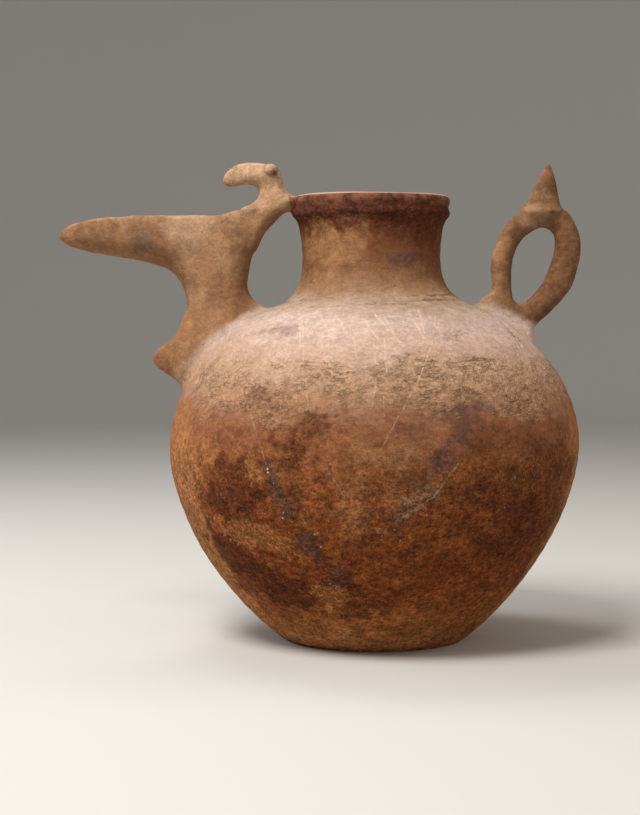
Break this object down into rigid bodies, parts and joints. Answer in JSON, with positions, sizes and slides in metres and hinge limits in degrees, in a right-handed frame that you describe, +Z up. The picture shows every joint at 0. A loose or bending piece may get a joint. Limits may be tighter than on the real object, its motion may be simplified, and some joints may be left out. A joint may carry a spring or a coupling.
{
  "type": "spouted vase",
  "caption": "Hand-built fired-clay vase: round hollow jar on a flat foot, open beak spout tied to the rim by a bird's head, and a ring handle with a pointed finial on the shoulder.",
  "frame": {"origin": "centre of the flat foot, on the ground", "axes": "+Z up along the jar's axis, -X towards the tip of the spout, +X towards the ring handle"},
  "size_m": [0.3895, 0.3072, 0.3552],
  "materials": {
    "fired_clay": "matte, weathered buff to brown fired clay"
  },
  "bodies": {
    "root": {"spouted_vase": "fired_clay"}
  },
  "joints": []
}
